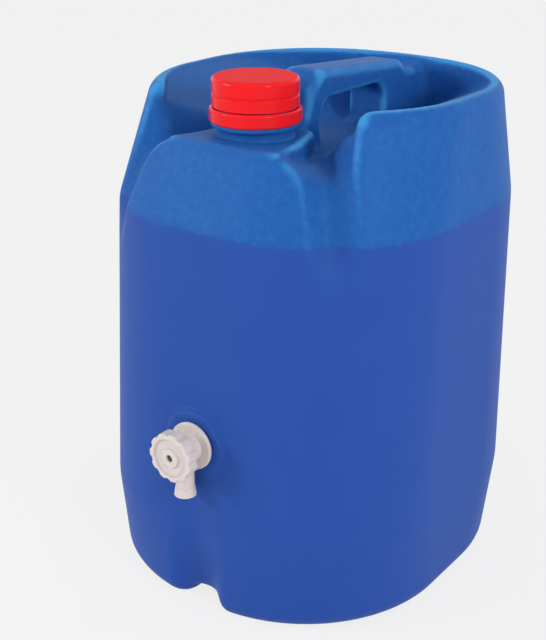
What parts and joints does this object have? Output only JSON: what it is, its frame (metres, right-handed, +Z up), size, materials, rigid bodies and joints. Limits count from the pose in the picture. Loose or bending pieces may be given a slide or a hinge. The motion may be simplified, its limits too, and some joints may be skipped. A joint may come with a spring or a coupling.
{
  "type": "carboy with spigot",
  "caption": "Upright blow-moulded blue plastic carboy with a moulded carrying handle, a red screw cap in a sunk neck well and a quarter-turn tap low on the front face.",
  "frame": {"origin": "middle of the tank's base, on the floor plane", "axes": "+Z up, -Y towards the tap at the front, +X to the right of someone who faces the back"},
  "size_m": [0.289, 0.3461, 0.414],
  "materials": {
    "blue_hdpe": "satin blow-moulded skin, slightly mottled",
    "red_cap_plastic": "gloss",
    "natural_tap_plastic": "satin, slightly translucent",
    "seal_rubber": "matt",
    "liner_foam": "matt foamed polyethylene",
    "screw_steel": "plain"
  },
  "bodies": {
    "can": {"tank": "blue_hdpe", "tamper_band": "red_cap_plastic", "tap_body": "natural_tap_plastic", "outer_tap_washer": "seal_rubber", "inner_tap_washer": "seal_rubber", "back_nut": "natural_tap_plastic"},
    "liner": {"cap_liner": "liner_foam"},
    "cap": {"screw_cap": "red_cap_plastic"},
    "tap": {"tap_plug": "natural_tap_plastic", "plug_o_rings": "seal_rubber", "tap_knob": "natural_tap_plastic", "knob_screw": "screw_steel"}
  },
  "joints": [
    {"name": "cap_lift", "type": "slide", "parent": "can", "child": "liner", "axis": [0, 0, 1], "range_m": [0, 0.018]},
    {"name": "cap_turn", "type": "hinge", "parent": "liner", "child": "cap", "pos_m": [0, -0.077, 0.4], "axis": [0, 0, 1], "range_deg": [0, 1080]},
    {"name": "tap_turn", "type": "hinge", "parent": "can", "child": "tap", "pos_m": [0, -0.158, 0.147], "axis": [0, 1, 0], "range_deg": [0, 90]}
  ],
  "couplings": [
    {"joint": "cap_lift", "follows": "cap_turn", "m_per_rad": 0.00095493}
  ]
}
